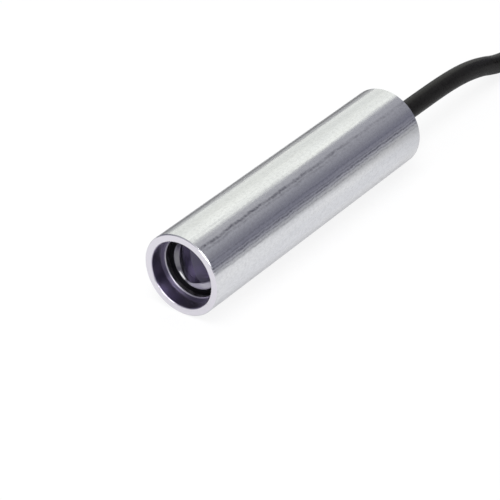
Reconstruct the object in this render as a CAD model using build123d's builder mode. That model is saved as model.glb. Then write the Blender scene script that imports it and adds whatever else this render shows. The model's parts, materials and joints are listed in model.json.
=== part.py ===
from build123d import *
from math import cos, radians, sin, sqrt, tan
import os

# Laser diode module: a plated tube with a line lens in its mouth, a collimated
# laser diode and its driver board inside, and a cable out of its rear end.
# Millimetres. Y is the optical axis, the beam leaves towards -Y, and +Z is up.
# The origin is on the axis, half way along the tube, which lies on its side.

# Housing tube
housing_diameter = 16.0
housing_length = 65.0
housing_wall = 1.5
outer_chamfer = 0.18
bore_chamfer = 0.15
push_clearance = 0.03

# Mouth and the snap ring that closes it
mouth_depth = 4.15
ring_width = 1.0
ring_height = 1.2
ring_chamfer = 0.15
ring_gap = 30.0
groove_clearance = 0.05

# Line lens and its cell, whose skirt reaches back to the diode holder
cell_length = 9.0
cell_wall = 1.62
lens_thickness = 2.5
lens_curve = 12.0
lens_recess = 0.1
lens_bond = 0.05
lens_shoulder = 0.8

# Diode holder, a brass heat sink
holder_length = 20.0
holder_wall = 1.7
chamber_depth = 12.0
throat_diameter = 4.4
throat_length = 2.5
clamp_ledge = 1.2

# Collimator
collimator_recess = 1.5
collimator_length = 6.5
barrel_wall = 0.9
collimator_lens_edge = 1.4
collimator_lens_curve = 5.5
collimator_shoulder = 0.7
lens_ring_length = 1.2
lens_ring_wall = 0.5
spring_wire = 0.5
spring_clearance = 0.4
spring_turns = 2

# Laser diode in its can
header_diameter = 5.6
header_thickness = 1.2
can_diameter = 3.55
can_height = 2.2
can_wall = 0.15
can_flange = 0.3
can_window_hole = 1.6
can_window_diameter = 2.8
can_window_thickness = 0.25
post_width = 1.0
post_depth = 0.8
post_length = 1.3
chip_size = 0.3
lead_diameter = 0.45
lead_circle = 2.0
lead_tilt = 40.0
lead_on_board = 2.5
clamp_ring_length = 2.0
clamp_ring_hole = 3.4
spanner_slot = 0.9

# Driver board and what is on it
sleeve_wall = 0.6
board_gap = 0.5
board_side_gap = 0.3
board_corner = 1.0
wiring_space = 3.35
edge_gap = 0.6
pad_gap = 0.3
driver_length = 3.0
driver_width = 3.0
driver_height = 1.1
leg_width = 0.3
leg_pitch = 0.65
leg_reach = 0.95
leg_height = 0.5
legs_per_side = 4
trimmer_size = 3.0
trimmer_height = 1.6
rotor_diameter = 2.2
rotor_height = 0.4
rotor_slot = 0.5
capacitor_length = 3.2
capacitor_width = 1.6
capacitor_height = 1.6
capacitor_pitch = 2.2
capacitor_count = 3
resistor_length = 1.6
resistor_width = 0.8
resistor_height = 0.45
resistor_pitch = 2.4
surge_length = 2.7
surge_width = 1.6
surge_height = 1.2

# Rear plug, its seal and the cable gland
plug_recess = 0.6
plug_length = 5.4
plug_chamfer = 0.4
seal_thickness = 1.0
gland_neck = 6.4
gland_flange = 8.4
gland_inner_flange = 1.2
gland_outer_flange = 1.0
gland_nose_start = 6.6
gland_nose_end = 5.4
gland_nose_length = 1.8

# Cable, its two cores inside the housing and its free end
cable_diameter = 4.0
core_diameter = 1.2
core_on_board = 2.0
tail_length = 4.0
tail_drop = 0.2
tail_lead_length = 21.9
tail_lead_diameter = 1.4
tail_lead_spacing = 1.6
tail_tip_diameter = 0.8
tail_tip_length = 4.0

# Spare cable, folded into a tied hank behind the module
hank_x = 8.3
hank_distance = 82.5
hank_spread = 40.0
hank_loop = 24.0
hank_layers = 2
stub_length = 7.0
neck_width = 8.4
neck_length = 9.0
tie_width = 3.6
tie_thickness = 1.0
tie_head = 4.6
tie_head_depth = 3.2

# Stations along the axis
housing_radius = housing_diameter / 2
bore_radius = housing_radius - housing_wall
insert_radius = bore_radius - push_clearance
front = -housing_length / 2
rear = housing_length / 2
floor = -housing_radius
cell_front = front + mouth_depth
cell_rear = cell_front + cell_length
lens_vertex = cell_front + lens_recess
lens_seat = lens_vertex + lens_thickness
holder_front = cell_rear
holder_rear = holder_front + holder_length
chamber_end = holder_front + chamber_depth
collimator_front = holder_front + collimator_recess
collimator_rear = collimator_front + collimator_length
header_front = chamber_end + throat_length
header_rear = header_front + header_thickness
can_front = header_front - can_height
plug_rear = rear - plug_recess
plug_front = plug_rear - plug_length
seal_front = plug_front - seal_thickness
board_front = holder_rear + board_gap
board_rear = plug_front - wiring_space
gland_front = plug_front - gland_inner_flange
nose_front = plug_rear + gland_outer_flange
gland_rear = nose_front + gland_nose_length


def turned(*outline):
    """The section of a turned piece, given by its (station, radius) corners."""
    with BuildSketch(Plane.YZ) as section:
        with BuildLine():
            Polyline(*outline, close=True)
        make_face()
    return section.sketch


def sleeve(start, end, outer, inner):
    """The section of a plain sleeve."""
    return turned((start, inner), (end, inner), (end, outer), (start, outer))


def facing(station):
    """A plane across the axis: X to the right, Z up, looking to the front."""
    return Plane.XZ.offset(-station)


def bend_radii(points):
    """The largest arc that each corner of a route leaves room for."""
    radii = []
    for before, corner, after in zip(points, points[1:], points[2:]):
        run_in = Vector(corner) - Vector(before)
        run_out = Vector(after) - Vector(corner)
        share = 0.45 * min(run_in.length, run_out.length)
        radii.append(share / tan(radians(run_in.get_angle(run_out) / 2)))
    return radii


def save(piece, name):
    """Name a finished piece and write it to its file."""
    piece.part.label = name
    export_step(piece.part, f"parts/{name}.step")


os.makedirs("parts", exist_ok=True)

# Housing tube with the groove for the snap ring
with BuildPart() as housing_tube:
    revolve(
        turned(
            (front, bore_radius + bore_chamfer),
            (front, housing_radius - outer_chamfer),
            (front + outer_chamfer, housing_radius),
            (rear - outer_chamfer, housing_radius),
            (rear, housing_radius - outer_chamfer),
            (rear, bore_radius + bore_chamfer),
            (rear - bore_chamfer, bore_radius),
            (front + bore_chamfer, bore_radius),
        ),
        axis=Axis.Y,
    )
    groove_radius = bore_radius + ring_height / 2 + groove_clearance
    revolve(
        sleeve(cell_front - ring_width, cell_front, groove_radius, insert_radius),
        axis=Axis.Y,
        mode=Mode.SUBTRACT,
    )
save(housing_tube, "housing_tube")

# Open ring that snaps into the groove and keeps the lens cell in
ring_front = cell_front - ring_width
ring_inner = bore_radius - ring_height / 2
ring_outer = bore_radius + ring_height / 2
with BuildPart() as retaining_ring:
    with BuildSketch(Plane.XY):
        with BuildLine():
            Polyline(
                (ring_inner + ring_chamfer, ring_front),
                (ring_outer, ring_front),
                (ring_outer, cell_front),
                (ring_inner, cell_front),
                (ring_inner, ring_front + ring_chamfer),
                close=True,
            )
        make_face()
    revolve(axis=Axis.Y, revolution_arc=360 - ring_gap)
save(retaining_ring, "retaining_ring")

# Lens cell: the lens drops in from the front on to a shoulder
pocket_radius = insert_radius - cell_wall
lens_radius = pocket_radius - lens_bond
aperture_radius = lens_radius - lens_shoulder
with BuildPart() as lens_cell:
    revolve(
        turned(
            (cell_front, pocket_radius),
            (cell_front, insert_radius),
            (cell_rear, insert_radius),
            (cell_rear, aperture_radius),
            (lens_seat, aperture_radius),
            (lens_seat, pocket_radius),
        ),
        axis=Axis.Y,
    )
save(lens_cell, "lens_cell")

# Line lens: a round blank whose front is ground to an upright cylinder
blank_half = lens_radius + lens_shoulder
blank_edge = lens_vertex + lens_curve - sqrt(lens_curve**2 - blank_half**2)
with BuildPart() as line_lens:
    with BuildSketch(Plane.XY):
        with BuildLine():
            ThreePointArc((-blank_half, blank_edge), (0, lens_vertex), (blank_half, blank_edge))
            Polyline(
                (blank_half, blank_edge),
                (blank_half, lens_seat),
                (-blank_half, lens_seat),
                (-blank_half, blank_edge),
            )
        make_face()
    extrude(amount=blank_half, both=True)
    with BuildSketch(facing(lens_seat)):
        Circle(lens_radius)
    extrude(amount=lens_thickness, mode=Mode.INTERSECT)
save(line_lens, "line_lens")

# Diode holder: collimator chamber in front, throat, diode seat and clamp bore behind
chamber_radius = insert_radius - holder_wall
throat_radius = throat_diameter / 2
header_radius = header_diameter / 2
clamp_radius = header_radius + clamp_ledge
with BuildPart() as diode_holder:
    revolve(
        turned(
            (holder_front, chamber_radius),
            (holder_front, insert_radius),
            (holder_rear, insert_radius),
            (holder_rear, clamp_radius),
            (header_rear, clamp_radius),
            (header_rear, header_radius + push_clearance),
            (header_front, header_radius + push_clearance),
            (header_front, throat_radius),
            (chamber_end, throat_radius),
            (chamber_end, chamber_radius),
        ),
        axis=Axis.Y,
    )
save(diode_holder, "diode_holder")

# Collimator: barrel, lens on its shoulder, and the ring that holds the lens
barrel_radius = chamber_radius - push_clearance
small_pocket_radius = barrel_radius - barrel_wall
small_lens_radius = small_pocket_radius - push_clearance
small_lens_seat = collimator_front + lens_ring_length + collimator_lens_edge
small_lens_rim = small_lens_seat - collimator_lens_edge
dome_radius = small_lens_radius - lens_ring_wall - push_clearance
dome_height = collimator_lens_curve - sqrt(collimator_lens_curve**2 - dome_radius**2)
with BuildPart() as collimator_barrel:
    revolve(
        turned(
            (collimator_front, small_pocket_radius),
            (collimator_front, barrel_radius),
            (collimator_rear, barrel_radius),
            (collimator_rear, small_lens_radius - collimator_shoulder),
            (small_lens_seat, small_lens_radius - collimator_shoulder),
            (small_lens_seat, small_pocket_radius),
        ),
        axis=Axis.Y,
    )
save(collimator_barrel, "collimator_barrel")

with BuildPart() as collimator_lens:
    with BuildSketch(Plane.YZ):
        with BuildLine():
            RadiusArc(
                (small_lens_rim - dome_height, 0),
                (small_lens_rim, dome_radius),
                collimator_lens_curve,
            )
            Polyline(
                (small_lens_rim, dome_radius),
                (small_lens_rim, small_lens_radius),
                (small_lens_seat, small_lens_radius),
                (small_lens_seat, 0),
                (small_lens_rim - dome_height, 0),
            )
        make_face()
    revolve(axis=Axis.Y)
save(collimator_lens, "collimator_lens")

with BuildPart() as collimator_ring:
    revolve(
        sleeve(collimator_front, small_lens_rim, small_lens_radius, small_lens_radius - lens_ring_wall),
        axis=Axis.Y,
    )
save(collimator_ring, "collimator_ring")

# Focus spring of square wire between the collimator and the end of its chamber
spring_length = chamber_end - collimator_rear - spring_wire
with BuildPart() as focus_spring:
    with BuildLine() as coil:
        Helix(
            pitch=spring_length / spring_turns,
            height=spring_length,
            radius=chamber_radius - spring_clearance - spring_wire / 2,
            center=(0, collimator_rear + spring_wire / 2, 0),
            direction=(0, 1, 0),
        )
    with BuildSketch(Plane(origin=coil.line @ 0, x_dir=(0, 1, 0), z_dir=coil.line % 0)):
        Rectangle(spring_wire, spring_wire)
    sweep(path=coil.line, is_frenet=True)
save(focus_spring, "focus_spring")

# Laser diode: header with its post, emitting chip, can, window and leads
chip_front = header_front - post_length
with BuildPart() as diode_header:
    with BuildSketch(facing(header_rear)):
        Circle(header_radius)
    extrude(amount=header_thickness)
    with BuildSketch(facing(header_front)):
        with Locations((0, -chip_size / 2)):
            Rectangle(post_width, post_depth, align=(Align.CENTER, Align.MAX))
    extrude(amount=post_length)
save(diode_header, "diode_header")

with BuildPart() as laser_chip:
    with BuildSketch(facing(chip_front + chip_size)):
        Rectangle(chip_size, chip_size)
    extrude(amount=chip_size)
save(laser_chip, "laser_chip")

can_radius = can_diameter / 2
with BuildPart() as diode_can:
    revolve(
        turned(
            (header_front, can_radius - can_wall),
            (header_front, can_radius + can_flange),
            (header_front - can_wall, can_radius + can_flange),
            (header_front - can_wall, can_radius),
            (can_front, can_radius),
            (can_front, can_window_hole / 2),
            (can_front + can_wall, can_window_hole / 2),
            (can_front + can_wall, can_radius - can_wall),
        ),
        axis=Axis.Y,
    )
save(diode_can, "diode_can")

with BuildPart() as diode_window:
    with BuildSketch(facing(can_front + can_wall + can_window_thickness)):
        Circle(can_window_diameter / 2)
    extrude(amount=can_window_thickness)
save(diode_window, "diode_window")

lead_side = lead_circle / 2 * cos(radians(lead_tilt))
lead_height = lead_circle / 2 * sin(radians(lead_tilt))
lead_end = board_front + lead_on_board
with BuildPart() as diode_leads:
    with BuildSketch(facing(lead_end)):
        with Locations((-lead_side, lead_height), (lead_side, lead_height), (0, -lead_circle / 2)):
            Circle(lead_diameter / 2)
    extrude(amount=lead_end - header_rear)
save(diode_leads, "diode_leads")

# Ring that clamps the header, with two slots for a pin spanner
clamp_ring_rear = header_rear + clamp_ring_length
with BuildPart() as diode_clamp_ring:
    revolve(
        sleeve(header_rear, clamp_ring_rear, clamp_radius - push_clearance, clamp_ring_hole / 2),
        axis=Axis.Y,
    )
    with BuildSketch(facing(clamp_ring_rear)):
        Rectangle(2 * clamp_radius, spanner_slot)
    extrude(amount=spanner_slot, mode=Mode.SUBTRACT)
save(diode_clamp_ring, "diode_clamp_ring")

# Insulating sleeve around the board, from the holder to the rear seal
sleeve_bore = insert_radius - sleeve_wall
with BuildPart() as insulating_sleeve:
    revolve(sleeve(holder_rear, seal_front, insert_radius, sleeve_bore), axis=Axis.Y)
save(insulating_sleeve, "insulating_sleeve")

# Driver board, soldered between the diode's leads
board_top = lead_height - lead_diameter / 2
board_under = lead_diameter / 2 - lead_circle / 2
board_half = sleeve_bore - board_side_gap
with BuildPart() as circuit_board:
    with BuildSketch(Plane.XY.offset(board_under)):
        with Locations((0, (board_front + board_rear) / 2)):
            Rectangle(2 * board_half, board_rear - board_front)
    extrude(amount=board_top - board_under)
    corners = circuit_board.edges().filter_by(Axis.Z)
    chamfer(corners, length=board_corner)
save(circuit_board, "circuit_board")

# Parts on the board's top: the driver in the middle, the surge diode at the cable's end
on_top = (Align.CENTER, Align.CENTER, Align.MIN)
parts_edge = board_half - edge_gap
pad_front = board_rear - core_on_board
driver_y = (lead_end + pad_front) / 2
with BuildPart(Plane.XY.offset(board_top)) as driver_chip:
    with Locations((0, driver_y)):
        Box(driver_width, driver_length, driver_height, align=on_top)
        with GridLocations(driver_width + leg_reach, leg_pitch, 2, legs_per_side):
            Box(leg_reach, leg_width, leg_height, align=on_top)
save(driver_chip, "driver_chip")

with BuildPart(Plane.XY.offset(board_top)) as resistors:
    with Locations((0, driver_y)):
        with GridLocations(2 * parts_edge - resistor_width, resistor_pitch, 2, 2):
            Box(resistor_width, resistor_length, resistor_height, align=on_top)
save(resistors, "resistors")

with BuildPart(Plane.XY.offset(board_top)) as surge_diode:
    with Locations((-parts_edge, board_rear - edge_gap)):
        Box(surge_width, surge_length, surge_height, align=(Align.MIN, Align.MAX, Align.MIN))
save(surge_diode, "surge_diode")

# Parts under the board, in front of the cable's pad
row_end = pad_front - pad_gap
trimmer_x = parts_edge - trimmer_size / 2
with BuildPart(Plane.XY.offset(board_under)) as current_trimmer:
    with Locations((-trimmer_x, row_end - trimmer_size / 2)):
        Box(trimmer_size, trimmer_size, trimmer_height, align=(Align.CENTER, Align.CENTER, Align.MAX))
        with Locations((0, 0, -trimmer_height - rotor_height)):
            Cylinder(rotor_diameter / 2, rotor_height, align=on_top)
            Box(rotor_diameter, rotor_slot, rotor_height, align=on_top, mode=Mode.SUBTRACT)
save(current_trimmer, "current_trimmer")

capacitor_x = parts_edge - capacitor_length / 2
capacitor_middle = row_end - capacitor_width / 2 - capacitor_pitch * (capacitor_count - 1) / 2
with BuildPart(Plane.XY.offset(board_under - capacitor_height)) as capacitors:
    with Locations((capacitor_x, capacitor_middle)):
        with GridLocations(capacitor_length, capacitor_pitch, 1, capacitor_count):
            Box(capacitor_length, capacitor_width, capacitor_height, align=on_top)
save(capacitors, "capacitors")

# Rear plug with a hole for the gland, and the flat seal that it presses on the sleeve
with BuildPart() as end_plug:
    revolve(
        turned(
            (plug_front, gland_neck / 2),
            (plug_front, insert_radius),
            (plug_rear - plug_chamfer, insert_radius),
            (plug_rear, insert_radius - plug_chamfer),
            (plug_rear, gland_neck / 2),
        ),
        axis=Axis.Y,
    )
save(end_plug, "end_plug")

with BuildPart() as end_seal:
    revolve(sleeve(seal_front, plug_front, bore_radius, sleeve_bore), axis=Axis.Y)
save(end_seal, "end_seal")

# Rubber gland: it grips the plug between two flanges, and its nose bends with the cable
cable_radius = cable_diameter / 2
with BuildPart() as cable_gland:
    revolve(
        turned(
            (gland_front, cable_radius),
            (gland_front, gland_flange / 2),
            (plug_front, gland_flange / 2),
            (plug_front, gland_neck / 2 - push_clearance),
            (plug_rear, gland_neck / 2 - push_clearance),
            (plug_rear, gland_flange / 2),
            (nose_front, gland_flange / 2),
            (nose_front, gland_nose_start / 2),
            (gland_rear, gland_nose_end / 2),
            (gland_rear, cable_radius),
        ),
        axis=Axis.Y,
    )
save(cable_gland, "cable_gland")

# Cable from the gland down to the floor and along it to the hank
cable_z = floor + cable_radius
cable_route = [
    (0.0, rear - 7.5, 0.0),
    (0.0, rear + 8.5, 0.0),
    (0.0, rear + 24.5, -0.26),
    (0.0, rear + 34.5, -1.94),
    (0.0, rear + 42.5, -4.86),
    (0.0, rear + 50.0, cable_z),
    (-2.2, rear + 60.5, cable_z),
    (-3.5, rear + 71.5, cable_z),
]
cable_radii = bend_radii(cable_route)
print("cable bend radii", [round(radius, 1) for radius in cable_radii])
with BuildPart() as cable:
    with BuildLine() as cable_path:
        FilletPolyline(*cable_route, radius=cable_radii)
    with BuildSketch(Plane(origin=cable_path.line @ 0, z_dir=cable_path.line % 0)) as cable_section:
        Circle(cable_radius)
    sweep(path=cable_path.line)
print("cable volume", round(cable.part.volume, 2))
print("cable section times length", round(cable_section.sketch.area * cable_path.wire().length, 2))
save(cable, "cable")

# The two cores, from the cable's cut end to a pad on each side of the board
core_radius = core_diameter / 2
for core_z, name in ((board_top + core_radius, "red_core"), (board_under - core_radius, "black_core")):
    with BuildPart() as core:
        with BuildSketch(facing(cable_route[0][1])):
            with Locations((0, core_z)):
                Circle(core_radius)
        extrude(amount=cable_route[0][1] - pad_front)
    save(core, name)

# Hank: two loops joined by a neck, where the tie goes round
hank_near = rear + hank_distance
hank_far = hank_near + hank_spread
hank_middle = (hank_near + hank_far) / 2
loop_ends = ((hank_x, hank_near), (hank_x, hank_far))
neck_half = neck_width / 2
neck_floor = floor + tie_thickness
neck_step = neck_floor + hank_layers * cable_diameter
neck_top = neck_step + cable_diameter


def hank_outline():
    """The loops and the neck seen from above."""
    with BuildSketch() as outline:
        with Locations(*loop_ends):
            Circle(hank_loop / 2 + cable_radius)
        with Locations((hank_x, hank_middle)):
            Rectangle(neck_width, hank_spread)
        with Locations(*loop_ends):
            Circle(hank_loop / 2 - cable_radius, mode=Mode.SUBTRACT)
    return outline.sketch


def neck_outline():
    """The bundle of strands inside the tie: one more on the left than on the right."""
    with BuildSketch(facing(hank_middle)) as outline:
        with BuildLine():
            Polyline(
                (hank_x - neck_half, neck_floor),
                (hank_x + neck_half, neck_floor),
                (hank_x + neck_half, neck_step),
                (hank_x - neck_half + cable_diameter, neck_top),
                (hank_x - neck_half, neck_top),
                close=True,
            )
        make_face()
    return outline.sketch


last_run = Vector(cable_route[-1]) - Vector(cable_route[-2])
top_layer = floor + hank_layers * cable_diameter
tail_x = hank_x - neck_half + cable_radius
tail_z = neck_top - cable_radius - tail_drop
tail_fall = tail_z - top_layer - tail_lead_diameter / 2
tail_plane = Plane(
    origin=(tail_x, hank_middle + neck_length / 2, tail_z),
    x_dir=(1, 0, 0),
    z_dir=(0, tail_length + tail_lead_length, -tail_fall),
)
with BuildPart() as cable_hank:
    extrude(Plane.XY.offset(floor) * hank_outline(), amount=hank_layers * cable_diameter)
    with BuildSketch(Plane.XY.offset(top_layer)):
        add(hank_outline())
        with Locations((hank_x, hank_middle)):
            Rectangle(hank_loop, hank_spread, align=(Align.MAX, Align.MAX), mode=Mode.INTERSECT)
    extrude(amount=cable_diameter)
    with Locations((hank_x, hank_middle, floor)):
        Box(hank_loop, tie_width, 2 * hank_layers * cable_diameter, mode=Mode.SUBTRACT)
    extrude(neck_outline(), amount=neck_length / 2, both=True)
    with BuildSketch(Plane(origin=cable_route[-1], z_dir=last_run)):
        Circle(cable_radius)
    extrude(amount=stub_length)
    with BuildSketch(tail_plane.offset(-cable_radius / 2)):
        Circle(cable_radius)
    extrude(amount=tail_length + cable_radius / 2)
save(cable_hank, "cable_hank")

# Tie round the neck, with its head at the side
with BuildPart() as cable_tie:
    with BuildSketch(facing(hank_middle)):
        add(neck_outline())
        offset(amount=tie_thickness)
        add(neck_outline(), mode=Mode.SUBTRACT)
    extrude(amount=tie_width / 2, both=True)
    with Locations((hank_x - neck_half - tie_thickness, hank_middle, neck_step - cable_diameter)):
        Box(tie_head_depth, tie_head, tie_head, align=(Align.MAX, Align.CENTER, Align.CENTER))
save(cable_tie, "cable_tie")

# Ends of the two conductors, which lean on the far loop, and their stripped tips
lead_half = tail_lead_spacing / 2
for lead_x, name in ((-lead_half, "red_lead"), (lead_half, "black_lead")):
    with BuildPart() as lead:
        with BuildSketch(tail_plane.offset(tail_length)):
            with Locations((lead_x, 0)):
                Circle(tail_lead_diameter / 2)
        extrude(amount=tail_lead_length)
    save(lead, name)

with BuildPart() as lead_tips:
    with BuildSketch(tail_plane.offset(tail_length + tail_lead_length)):
        with Locations((-lead_half, 0), (lead_half, 0)):
            Circle(tail_tip_diameter / 2)
    extrude(amount=tail_tip_length)
save(lead_tips, "lead_tips")
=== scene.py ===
import json
from math import atan2, cos, pi, radians, sin, sqrt

import bpy
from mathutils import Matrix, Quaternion, Vector

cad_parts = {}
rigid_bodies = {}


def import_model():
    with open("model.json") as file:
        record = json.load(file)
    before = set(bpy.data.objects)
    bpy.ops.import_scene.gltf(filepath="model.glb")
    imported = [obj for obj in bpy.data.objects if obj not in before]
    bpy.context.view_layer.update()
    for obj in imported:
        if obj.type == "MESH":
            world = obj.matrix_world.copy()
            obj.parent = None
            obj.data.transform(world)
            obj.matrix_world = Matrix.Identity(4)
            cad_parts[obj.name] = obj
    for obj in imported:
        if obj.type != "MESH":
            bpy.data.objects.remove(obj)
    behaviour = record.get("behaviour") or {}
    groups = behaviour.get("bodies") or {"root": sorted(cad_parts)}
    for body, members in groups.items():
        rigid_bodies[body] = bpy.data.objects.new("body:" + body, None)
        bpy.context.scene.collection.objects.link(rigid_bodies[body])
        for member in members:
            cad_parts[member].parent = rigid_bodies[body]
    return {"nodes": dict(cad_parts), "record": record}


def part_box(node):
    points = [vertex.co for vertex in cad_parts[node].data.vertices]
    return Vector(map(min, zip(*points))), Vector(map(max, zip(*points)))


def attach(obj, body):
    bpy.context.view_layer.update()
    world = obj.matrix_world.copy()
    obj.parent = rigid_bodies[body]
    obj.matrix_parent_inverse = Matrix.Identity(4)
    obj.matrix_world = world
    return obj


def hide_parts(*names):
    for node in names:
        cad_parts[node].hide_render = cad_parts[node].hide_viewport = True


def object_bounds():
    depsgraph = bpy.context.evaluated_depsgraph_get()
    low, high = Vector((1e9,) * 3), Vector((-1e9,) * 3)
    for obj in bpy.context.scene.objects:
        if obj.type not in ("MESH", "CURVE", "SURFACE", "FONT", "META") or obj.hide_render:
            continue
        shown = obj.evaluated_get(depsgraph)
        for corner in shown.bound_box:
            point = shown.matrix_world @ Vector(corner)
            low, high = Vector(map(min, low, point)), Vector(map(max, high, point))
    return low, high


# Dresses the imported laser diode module: materials for every piece, the supply
# cable as one smooth curve with its folded hank, a bead of adhesive round the
# lens, a pale floor, soft light and a camera. Metres, in the frame of the solids:
# Y is the optical axis, the beam leaves towards -Y, and +Z is up.

for leftover in list(bpy.data.objects):
    bpy.data.objects.remove(leftover)
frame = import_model()
nodes = frame["nodes"]
solid_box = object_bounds()

MM = 0.001
tube_low, tube_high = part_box("housing_tube")
floor_level = solid_box[0][2]
tube_front = tube_low.y
tube_rear = tube_high.y


# Node helpers

def add(tree, kind, inputs=None, **settings):
    """A new shader node with its settings and inputs, which are values or sockets."""
    made = tree.nodes.new(kind)
    for name, value in settings.items():
        setattr(made, name, value)
    for name, value in (inputs or {}).items():
        if isinstance(value, bpy.types.NodeSocket):
            tree.links.new(value, made.inputs[name])
        else:
            made.inputs[name].default_value = value
    return made


def place(tree, stretch=(1, 1, 1)):
    """The place on the part, in metres, stretched along each axis."""
    where = add(tree, "ShaderNodeTexCoord").outputs["Object"]
    return add(tree, "ShaderNodeMapping", {"Vector": where, "Scale": stretch}).outputs["Vector"]


def coordinates(tree):
    """The place on the part, split into its X, Y and Z."""
    return add(tree, "ShaderNodeSeparateXYZ", {"Vector": place(tree)}).outputs


def noise(tree, vector, scale=1.0, detail=3.0, rough=0.55, warp=0.0):
    """A soft noise from 0 to 1."""
    made = add(
        tree,
        "ShaderNodeTexNoise",
        {"Vector": vector, "Scale": scale, "Detail": detail, "Roughness": rough, "Distortion": warp},
    )
    return made.outputs["Fac"]


def ramp(tree, value, *stops):
    """A colour ramp with (place, colour) stops."""
    made = add(tree, "ShaderNodeValToRGB", {"Fac": value})
    made.color_ramp.elements.remove(made.color_ramp.elements[1])
    for index, (at, colour) in enumerate(stops):
        stop = made.color_ramp.elements[0] if index == 0 else made.color_ramp.elements.new(at)
        stop.position = at
        stop.color = (*colour, 1)
    return made.outputs["Color"]


def between(tree, value, low, high, out_low, out_high):
    """A value mapped from one range to another, smoothly."""
    made = add(
        tree,
        "ShaderNodeMapRange",
        {"Value": value, "From Min": low, "From Max": high, "To Min": out_low, "To Max": out_high},
        interpolation_type="SMOOTHSTEP",
    )
    return made.outputs["Result"]


def mixed(tree, share, first, second):
    """Two colours mixed by a share."""
    made = add(tree, "ShaderNodeMix", data_type="RGBA")
    tree.links.new(share, made.inputs[0])
    for socket, value in ((made.inputs[6], first), (made.inputs[7], second)):
        if isinstance(value, bpy.types.NodeSocket):
            tree.links.new(value, socket)
        else:
            socket.default_value = (*value, 1)
    return made.outputs[2]


def maths(tree, operation, first, second=0.0):
    """One sum of two numbers, which are values or sockets."""
    return add(tree, "ShaderNodeMath", {0: first, 1: second}, operation=operation).outputs[0]


def bump(tree, height, depth, strength):
    """A bump whose depth is in metres."""
    made = add(tree, "ShaderNodeBump", {"Height": height, "Strength": strength, "Distance": depth})
    return made.outputs["Normal"]


def axis_distance(tree, where):
    """The distance from the optical axis, from a place split into its coordinates."""
    across = maths(tree, "POWER", where["X"], 2)
    upward = maths(tree, "POWER", where["Z"], 2)
    return maths(tree, "SQRT", maths(tree, "ADD", across, upward))


def start(name, values):
    """A new material and its shader, with values set on the shader's own sockets."""
    made = bpy.data.materials.new(name)
    made.use_nodes = True
    shader = made.node_tree.nodes["Principled BSDF"]
    for key, value in values.items():
        shader.inputs[key].default_value = (*value, 1) if isinstance(value, tuple) else value
    return made, made.node_tree, shader


def feed(tree, shader, sockets):
    """Links sockets to the shader's inputs."""
    for key, socket in sockets.items():
        tree.links.new(socket, shader.inputs[key])


# Camera at the photograph's viewing angle

camera_place = (0.20635, -0.29520, 0.22039)
camera_azimuth = 36.08
camera_elevation = 32.79
camera_lens = 164.995
camera = bpy.data.objects.new("camera", bpy.data.cameras.new("camera"))
bpy.context.scene.collection.objects.link(camera)
camera.location = camera_place
camera.rotation_euler = (radians(90 - camera_elevation), 0, radians(camera_azimuth))
camera.data.lens = camera_lens
camera.data.sensor_width = 36.0
camera.data.clip_start = 0.01
bpy.context.scene.camera = camera

# Supply cable: the route of the solids, then two and a half turns of the hank

cable_diameter = 4.0 * MM
cable_radius = cable_diameter / 2
floor_height = floor_level + cable_radius
route = [
    (0.0, tube_rear - 7.5 * MM, 0.0),
    (0.0, tube_rear + 8.5 * MM, 0.0),
    (0.0, tube_rear + 24.5 * MM, -0.26 * MM),
    (0.0, tube_rear + 34.5 * MM, -1.94 * MM),
    (0.0, tube_rear + 42.5 * MM, -4.86 * MM),
    (0.0, tube_rear + 50.0 * MM, floor_height),
    (-2.2 * MM, tube_rear + 60.5 * MM, floor_height),
    (-3.5 * MM, tube_rear + 71.5 * MM, floor_height),
]
hank_x = 8.3 * MM
hank_near = tube_rear + 81.9 * MM
hank_far = tube_rear + 123.1 * MM
hank_middle = (hank_near + hank_far) / 2
half_spread = (hank_far - hank_near) / 2
fold_radius = 12.5 * MM
neck_shift = 2.1 * MM
neck_lift = 1.0 * MM

# The arc between a loop and the neck touches both
waist_radius = (half_spread**2 + neck_shift**2 - fold_radius**2) / (2 * (fold_radius - neck_shift))
waist_offset = neck_shift + waist_radius
loop_end = atan2(half_spread, waist_offset)
loop_steps = 22
waist_steps = 11
entry_steps = 7
entry_lead = 0.1
climb_end = 0.62


def arc(centre_x, centre_y, radius, first, last, steps):
    """Points of an arc without its end point, with the share of the way along it."""
    made = []
    for step in range(steps):
        share = step / steps
        angle = first + (last - first) * share
        made.append((centre_x + radius * cos(angle), centre_y + radius * sin(angle), share))
    return made


def waist(side, layer):
    """The stretch through the neck on one side, -1 for left, which goes back on the right."""
    centre_x = hank_x + side * waist_offset
    first, last = (-loop_end, loop_end) if side < 0 else (pi - loop_end, pi + loop_end)
    made = []
    for x, y, share in arc(centre_x, hank_middle, waist_radius, first, last, waist_steps):
        lift = neck_lift * (1 - abs(2 * share - 1)) ** 0.5
        made.append((x, y, layer + lift))
    return made


def far_loop(layer):
    """Round the far loop, from left to right."""
    turns = arc(hank_x, hank_far, fold_radius, pi + loop_end, -loop_end, loop_steps)
    return [(x, y, layer) for x, y, share in turns]


def near_loop(layer):
    """Round the near loop, from right to left, while it climbs on to the next layer."""
    made = []
    for x, y, share in arc(hank_x, hank_near, fold_radius, loop_end, -pi - loop_end, loop_steps):
        climb = min(1.0, share / climb_end)
        made.append((x, y, layer + cable_diameter * climb))
    return made


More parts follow.
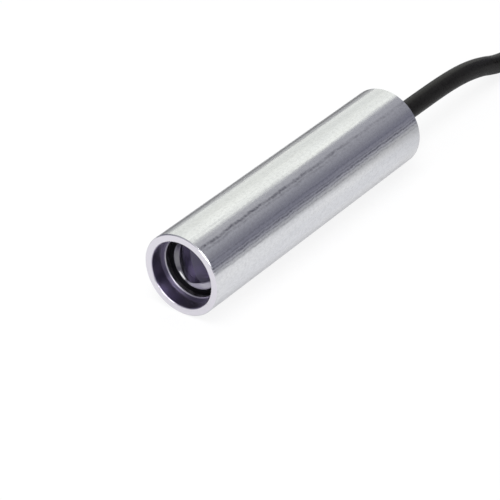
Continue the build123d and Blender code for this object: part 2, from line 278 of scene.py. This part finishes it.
# The free end leaves the third pass through the neck half way along it
layers = [floor_height, floor_height + cable_diameter, floor_height + 2 * cable_diameter]
last_steps = 6
tail_x = hank_x - neck_shift - 0.1 * MM
tail_points = [
    (tail_x, hank_middle + 4.5 * MM, layers[2] + 0.8 * MM),
    (tail_x, hank_middle + 8.5 * MM, layers[2] + 0.48 * MM),
]
hank_points = []
for x, y, share in arc(hank_x, hank_near, fold_radius, pi + entry_lead, pi - loop_end, entry_steps):
    hank_points.append((x, y, floor_height))
for layer in layers[:2]:
    hank_points += waist(-1, layer) + far_loop(layer) + waist(1, layer) + near_loop(layer)
hank_points += waist(-1, layers[2])[:last_steps] + tail_points

cable_curve = bpy.data.curves.new("supply_cable", "CURVE")
cable_curve.dimensions = "3D"
cable_curve.bevel_depth = 1.0
cable_curve.bevel_resolution = 8
cable_curve.resolution_u = 10
cable_curve.use_fill_caps = True
spline = cable_curve.splines.new("NURBS")
control_points = route + hank_points
spline.points.add(len(control_points) - 1)
for point, where in zip(spline.points, control_points):
    point.co = (*where, 1)
    point.radius = cable_radius
spline.order_u = 3
spline.use_endpoint_u = True
supply_cable = bpy.data.objects.new("supply_cable", cable_curve)
bpy.context.scene.collection.objects.link(supply_cable)
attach(supply_cable, "root")
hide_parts("cable", "cable_hank")

# Materials

materials = {}

# Bright plating on drawn tube: streaks along it, dark lengthwise marks that are partly die marks and
# partly painted reflection lines, a turned rim, a duller bore
bore_radius = 6.5 * MM
plating_dark = (0.635, 0.645, 0.675)
plating_light = (0.71, 0.715, 0.725)
speck_colour = (0.40, 0.40, 0.42)
mark_and_painted_reflection_colour = (0.18, 0.18, 0.21)
rim_colour = (0.71, 0.69, 0.74)
bore_colour = (0.41, 0.37, 0.48)
most_specks = 0.24
speck_relief = 0.7
relief_depth = 0.03 * MM
relief_strength = 0.4
least_gloss, most_gloss = 0.15, 0.26
bore_gloss = 0.27
mark_sway = 9.0
mark_fade = (-5 * MM, 24 * MM)

# The marks from 31 to 69 degrees are painted dark reflection lines, the rest die marks. Each mark:
# angle from the top and half width in degrees, depth, share of it left at the rear
die_marks_and_painted_reflections = (
    (31, 3.6, 1.00, 0.35),
    (35.5, 3.0, 0.45, 0.20),
    (52, 1.8, 0.35, 0.80),
    (57, 1.6, 0.50, 0.90),
    (60.5, 2.2, 0.85, 1.00),
    (64.5, 1.6, 0.60, 0.90),
    (69, 1.9, 0.40, 1.00),
    (118, 2.0, 0.30, 0.70),
    (171, 2.6, 0.45, 0.60),
    (-124, 1.5, 0.35, 0.80),
    (-56, 2.2, 0.45, 0.60),
)
plated, tree, shader = start("plated_metal", {"Metallic": 1.0})
where = coordinates(tree)
from_axis = axis_distance(tree, where)
turn = maths(tree, "DEGREES", maths(tree, "ARCTAN2", where["X"], where["Z"]))
wavy = noise(tree, place(tree, (300, 22, 300)), detail=3.0, rough=0.6, warp=0.4)
streaks = noise(tree, place(tree, (2600, 60, 2600)), detail=2.0)
wander = noise(tree, place(tree, (150, 160, 150)), detail=6.0, rough=0.75)
grain = noise(tree, place(tree, (2300, 1500, 2300)), detail=2.0, rough=0.6)
gaps = noise(tree, place(tree, (700, 420, 700)), detail=3.0, rough=0.7)
sway = maths(tree, "MULTIPLY", maths(tree, "SUBTRACT", wander, 0.5), mark_sway)
bent_turn = maths(tree, "ADD", turn, sway)
marks = None
for angle, width, depth, left in die_marks_and_painted_reflections:
    off = maths(tree, "ABSOLUTE", maths(tree, "SUBTRACT", bent_turn, angle))
    mark = between(tree, off, 0.0, width, depth, 0.0)
    mark = maths(tree, "MULTIPLY", mark, between(tree, where["Y"], *mark_fade, 1.0, left))
    marks = mark if marks is None else maths(tree, "MAXIMUM", marks, mark)
broken = between(tree, gaps, 0.35, 0.65, 0.55, 1.0)
speckled = between(tree, grain, 0.35, 0.60, 0.60, 1.0)
marks = maths(tree, "MULTIPLY", maths(tree, "MULTIPLY", marks, broken), speckled)

# The bore is told from the outside by its radius, and the rim by its place at either end
outside = between(tree, from_axis, bore_radius + 0.05 * MM, bore_radius + 0.12 * MM, 0.0, 1.0)
from_middle = maths(tree, "ABSOLUTE", maths(tree, "SUBTRACT", where["Y"], (tube_front + tube_rear) / 2))
half_length = (tube_rear - tube_front) / 2
on_rim = between(tree, from_middle, half_length - 0.06 * MM, half_length - 0.02 * MM, 0.0, 1.0)
barrel = ramp(tree, wavy, (0.3, plating_dark), (0.7, plating_light))
barrel = mixed(tree, between(tree, grain, 0.35, 0.75, 0.0, most_specks), barrel, speck_colour)
# Painted dark reflection lines and die marks darken the barrel's colour
barrel = mixed(tree, marks, barrel, mark_and_painted_reflection_colour)
barrel = mixed(tree, on_rim, barrel, rim_colour)
skin = mixed(tree, outside, bore_colour, barrel)
gloss = maths(
    tree,
    "ADD",
    maths(tree, "MULTIPLY", outside, between(tree, streaks, 0.3, 0.7, least_gloss, most_gloss)),
    between(tree, outside, 0.0, 1.0, bore_gloss, 0.0),
)
waves = maths(tree, "ADD", wavy, wander)
relief = maths(tree, "ADD", waves, maths(tree, "MULTIPLY", grain, speck_relief))
relief = maths(tree, "MULTIPLY", relief, outside)
dents = bump(tree, relief, relief_depth, relief_strength)
feed(tree, shader, {"Base Color": skin, "Roughness": gloss, "Normal": dents})
materials["plated_metal"] = plated


def simple(name, colour, shade, rough, grain, depth, metal=0.0, sheen=0.5):
    """A finish with a mottled colour, varied gloss and fine grain, whose depth is in millimetres."""
    made, made_tree, made_shader = start(name, {"Metallic": metal, "Specular IOR Level": sheen})
    mottle = noise(made_tree, place(made_tree), grain, detail=4.0)
    feed(
        made_tree,
        made_shader,
        {
            "Base Color": ramp(made_tree, mottle, (0.3, shade), (0.7, colour)),
            "Roughness": between(made_tree, mottle, 0.25, 0.75, rough * 0.8, rough * 1.2),
            "Normal": bump(made_tree, mottle, depth * MM, 0.6),
        },
    )
    materials[name] = made
    return made


def patch(made, share, colour):
    """Mixes a second colour into a finish, by a share."""
    made_tree = made.node_tree
    made_shader = made_tree.nodes["Principled BSDF"]
    first = made_shader.inputs["Base Color"].links[0].from_socket
    feed(made_tree, made_shader, {"Base Color": mixed(made_tree, share, first, colour)})


simple("black_anodised", (0.002, 0.002, 0.003), (0.001, 0.001, 0.002), 0.50, 2500, 0.01, sheen=0.08)
simple("brass", (0.78, 0.58, 0.26), (0.62, 0.44, 0.18), 0.28, 700, 0.01, metal=1.0)
simple("gold_plate", (0.92, 0.70, 0.34), (0.84, 0.60, 0.26), 0.20, 1500, 0.005, metal=1.0)
simple("can_steel", (0.62, 0.61, 0.58), (0.52, 0.51, 0.49), 0.25, 1200, 0.005, metal=1.0)
simple("tinned_copper", (0.68, 0.66, 0.63), (0.54, 0.52, 0.49), 0.30, 2500, 0.02, metal=1.0)
simple("insulation_film", (0.74, 0.62, 0.34), (0.62, 0.50, 0.24), 0.35, 400, 0.01)
simple("board_green", (0.030, 0.20, 0.075), (0.020, 0.14, 0.055), 0.35, 600, 0.01)
simple("chip_black", (0.030, 0.030, 0.032), (0.018, 0.018, 0.020), 0.55, 3000, 0.01)
simple("trimmer_blue", (0.08, 0.20, 0.55), (0.06, 0.15, 0.45), 0.30, 900, 0.01)
simple("capacitor_tan", (0.62, 0.46, 0.26), (0.52, 0.38, 0.20), 0.45, 1500, 0.01)
simple("plug_black", (0.030, 0.030, 0.032), (0.018, 0.018, 0.020), 0.45, 1500, 0.015)
simple("seal_rubber", (0.022, 0.022, 0.022), (0.012, 0.012, 0.012), 0.60, 1800, 0.02)
simple("cable_black", (0.013, 0.0125, 0.012), (0.009, 0.0085, 0.008), 0.30, 1400, 0.015, sheen=0.08)
simple("tie_nylon", (0.030, 0.030, 0.032), (0.018, 0.018, 0.020), 0.40, 1200, 0.01)
simple("core_red", (0.55, 0.030, 0.025), (0.42, 0.020, 0.018), 0.38, 900, 0.01)
simple("core_black", (0.028, 0.028, 0.030), (0.016, 0.016, 0.018), 0.38, 900, 0.01)

# Spring steel, blackened but for the ground inner edge of the ring
ground_edge = (6.05 * MM, 6.22 * MM)
blackened_colour = (0.20, 0.19, 0.24)
steel = simple("spring_steel", (0.46, 0.45, 0.49), (0.36, 0.35, 0.39), 0.38, 900, 0.01, metal=1.0)
tree = steel.node_tree
blackened = between(tree, axis_distance(tree, coordinates(tree)), *ground_edge, 0.0, 1.0)
patch(steel, blackened, blackened_colour)

# Clear adhesive, with a paler patch where it pooled at the bottom of the lens: painted light, as if
# falling from above
glue_index = 1.70
painted_light_below = (-3.0 * MM, -1.8 * MM)
painted_light_right = (-2.4 * MM, -0.8 * MM)
painted_light_colour = (0.43, 0.41, 0.48)
glue = simple("clear_glue", (0.09, 0.085, 0.11), (0.06, 0.055, 0.08), 0.16, 900, 0.01, sheen=1.0)
tree = glue.node_tree
tree.nodes["Principled BSDF"].inputs["IOR"].default_value = glue_index
where = coordinates(tree)
# Painted light: paler towards the bottom and the right of the lens
painted_light = maths(
    tree,
    "MULTIPLY",
    between(tree, where["Z"], *painted_light_below, 1.0, 0.0),
    between(tree, where["X"], *painted_light_right, 0.0, 1.0),
)
patch(glue, painted_light, painted_light_colour)

# Coated optical glass with a purple residual reflection
glass, tree, shader = start(
    "lens_glass",
    {
        "Base Color": (0.30, 0.27, 0.36),
        "IOR": 1.66,
        "Transmission Weight": 1.0,
        "Specular IOR Level": 1.0,
        "Specular Tint": (0.70, 0.62, 1.0),
    },
)
smudge = noise(tree, place(tree), 350, detail=4.0)
feed(tree, shader, {"Roughness": between(tree, smudge, 0.4, 0.8, 0.02, 0.08)})
materials["lens_glass"] = glass

slots = {piece["node"]: piece["material_slot"] for piece in frame["record"]["subparts"]}
for name, piece in nodes.items():
    piece.data.materials.clear()
    piece.data.materials.append(materials[slots[name]])
cable_curve.materials.append(materials["cable_black"])

# Bead of adhesive that fills the corner between the lens and its cell, with a pool at the bottom

cell_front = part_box("lens_cell")[0].y
lens_low, lens_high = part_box("line_lens")
lens_curve = 12.0 * MM
bead_outer = lens_high.x + 0.05 * MM
bead_top = cell_front + 0.03 * MM
bead_edge = 0.01 * MM
bead_root = 0.2 * MM
bead_spread = 0.8
bead_hollow = 1.15
bead_steps = 96
bead_corners = 6
pool_centre = radians(284)
pool_left = radians(48)
pool_right = radians(72)
pool_reach = 1.15 * MM


def lens_surface(reach, angle):
    """The station of the lens's front at a distance from the axis."""
    across = reach * cos(angle)
    return lens_low.y + lens_curve - sqrt(lens_curve**2 - across**2)


def pool(angle):
    """How much farther the bead reaches in where it pooled at the bottom."""
    off = (angle - pool_centre + pi) % (2 * pi) - pi
    share = off / pool_right if off > 0 else -off / pool_left
    return pool_reach * cos(min(1.0, share) * pi / 2) ** 2


def bead_section(angle):
    """The points round the bead's section at an angle, from its edge on the lens outwards."""
    root = lens_surface(bead_outer, angle)
    bead_inner = bead_outer - bead_spread * (root - bead_top) - pool(angle)
    foot = lens_surface(bead_inner, angle) - bead_edge
    made = []
    for corner in range(bead_corners):
        share = corner / (bead_corners - 1)
        reach = bead_inner + (bead_outer - bead_inner) * share
        station = foot + (bead_top - foot) * share**bead_hollow
        made.append((reach * cos(angle), station, reach * sin(angle)))
    made.append((bead_outer * cos(angle), root + bead_root, bead_outer * sin(angle)))
    return made


def ring_mesh(name, sections):
    """A smooth closed ring from its sections, each a list of points round the section."""
    count = len(sections[0])
    points = [point for section in sections for point in section]
    faces = []
    for step in range(len(sections)):
        here = step * count
        there = (step + 1) % len(sections) * count
        for corner in range(count):
            following = (corner + 1) % count
            faces.append((here + corner, here + following, there + following, there + corner))
    mesh = bpy.data.meshes.new(name)
    mesh.from_pydata(points, [], faces)
    for face in mesh.polygons:
        face.use_smooth = True
    made = bpy.data.objects.new(name, mesh)
    bpy.context.scene.collection.objects.link(made)
    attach(made, "root")
    return made


bead_sections = [bead_section(2 * pi * step / bead_steps) for step in range(bead_steps)]
glue_bead = ring_mesh("glue_bead", bead_sections)
glue_bead.data.materials.append(materials["clear_glue"])

# Floor, white to the camera with a soft shadow; reflections see it dimmer towards the rear, a painted
# shade, and a painted dark patch on its left, seen only in reflections, which draws the dark upper edge
# of the bright tube

floor_size = 6.0
floor_colour = (0.95, 0.95, 0.95, 1)
glow_share = 0.85
rear_dimming = (10 * MM, 85 * MM)
most_dimming = 0.8
painted_dark_patch_left = (-150 * MM, -100 * MM)
painted_dark_patch_right = (-38 * MM, -26 * MM)
painted_dark_patch_front = (-30 * MM, -12 * MM)
open_share, painted_dark_patch_share = 0.5, 0.85
open_glow, painted_dark_patch_glow = 0.9, 0.1
floor_mesh = bpy.data.meshes.new("floor")
half = floor_size / 2
corners = [(-half, -half), (half, -half), (half, half), (-half, half)]
floor_mesh.from_pydata([(x, y, floor_level) for x, y in corners], [], [(0, 1, 2, 3)])
floor = bpy.data.objects.new("floor", floor_mesh)
bpy.context.scene.collection.objects.link(floor)
floor_material = bpy.data.materials.new("pale_floor")
floor_material.use_nodes = True
tree = floor_material.node_tree
tree.nodes.clear()
path = add(tree, "ShaderNodeLightPath").outputs
spot = coordinates(tree)
rear_dim = between(tree, spot["Y"], *rear_dimming, 0.0, most_dimming)
# Painted dark patch on the floor's left, seen only in reflections
painted_dark_patch = maths(
    tree,
    "MULTIPLY",
    between(tree, spot["X"], *painted_dark_patch_right, 1.0, 0.0),
    between(tree, spot["X"], *painted_dark_patch_left, 0.0, 1.0),
)
painted_dark_patch = maths(tree, "MULTIPLY", painted_dark_patch, between(tree, spot["Y"], *painted_dark_patch_front, 0.0, 1.0))
mirror_share = between(tree, painted_dark_patch, 0.0, 1.0, open_share, painted_dark_patch_share)
mirror_glow = between(tree, maths(tree, "MAXIMUM", rear_dim, painted_dark_patch), 0.0, 1.0, open_glow, painted_dark_patch_glow)
seen = maths(tree, "MAXIMUM", path["Is Camera Ray"], path["Is Transmission Ray"])
share = maths(
    tree,
    "MAXIMUM",
    maths(tree, "MULTIPLY", seen, glow_share),
    maths(tree, "MULTIPLY", path["Is Glossy Ray"], mirror_share),
)
matt = add(tree, "ShaderNodeBsdfDiffuse", {"Color": floor_colour})
glow_strength = maths(tree, "MAXIMUM", seen, mirror_glow)
glow = add(tree, "ShaderNodeEmission", {"Color": (1, 1, 1, 1), "Strength": glow_strength})
joined = add(tree, "ShaderNodeMixShader", {0: share, 1: matt.outputs[0], 2: glow.outputs[0]})
add(tree, "ShaderNodeOutputMaterial", {"Surface": joined.outputs[0]})
floor_mesh.materials.append(floor_material)

# Soft light: a dim room with a pale horizon, a key behind on the left, fill from above and in front

room_stops = (
    (0.00, (0.58, 0.58, 0.61)),
    (0.06, (0.48, 0.48, 0.52)),
    (0.13, (0.345, 0.345, 0.40)),
    (0.22, (0.30, 0.30, 0.355)),
    (0.31, (0.225, 0.225, 0.285)),
    (0.42, (0.25, 0.25, 0.30)),
    (0.55, (0.36, 0.36, 0.40)),
    (0.65, (0.50, 0.50, 0.54)),
    (1.00, (0.55, 0.55, 0.57)),
)
left_low = (0.06, 0.14)
left_side = (-0.30, -0.05)
left_colour = (0.42, 0.42, 0.44)
world = bpy.data.worlds.new("studio")
bpy.context.scene.world = world
world.use_nodes = True
tree = world.node_tree
tree.nodes.clear()
direction = add(tree, "ShaderNodeTexCoord").outputs["Generated"]
heading = add(tree, "ShaderNodeSeparateXYZ", {"Vector": direction}).outputs
room = ramp(tree, heading["Z"], *room_stops)
low_edge = between(tree, heading["Z"], *left_low, 1.0, 0.0)
on_left = between(tree, heading["X"], *left_side, 1.0, 0.0)
room = mixed(tree, maths(tree, "MULTIPLY", low_edge, on_left), room, left_colour)
sky = add(tree, "ShaderNodeBackground", {"Color": room, "Strength": 1.0})
add(tree, "ShaderNodeOutputWorld", {"Surface": sky.outputs[0]})


def softbox(name, towards, distance, width, height, radiance, colour=(1, 1, 1), roll=0.0):
    """A lamp that faces the part from a direction, rolled by degrees, as bright as the radiance."""
    lamp = bpy.data.lights.new(name, "AREA")
    lamp.shape = "RECTANGLE"
    lamp.size = width
    lamp.size_y = height
    lamp.energy = radiance * pi * width * height
    lamp.color = colour
    made = bpy.data.objects.new(name, lamp)
    bpy.context.scene.collection.objects.link(made)
    way = Vector(towards).normalized()
    made.location = way * distance
    rolled = Quaternion((0, 0, 1), radians(roll))
    made.rotation_euler = (way.to_track_quat("Z", "Y") @ rolled).to_euler()


softbox(
    "key_softbox",
    (-0.54, 0.68, 0.50),
    distance=0.75,
    width=0.68,
    height=0.68,
    radiance=0.80,
    colour=(0.975, 1.0, 0.86),
)
softbox("top_softbox", (0.1, -0.25, 1.0), distance=0.8, width=0.5, height=0.5, radiance=5.0)
softbox(
    "front_softbox",
    (0.5, -0.75, 0.6),
    distance=0.9,
    width=0.56,
    height=0.18,
    radiance=6.0,
    roll=129,
)

bpy.context.scene.view_settings.view_transform = "Standard"

bpy.context.view_layer.update()
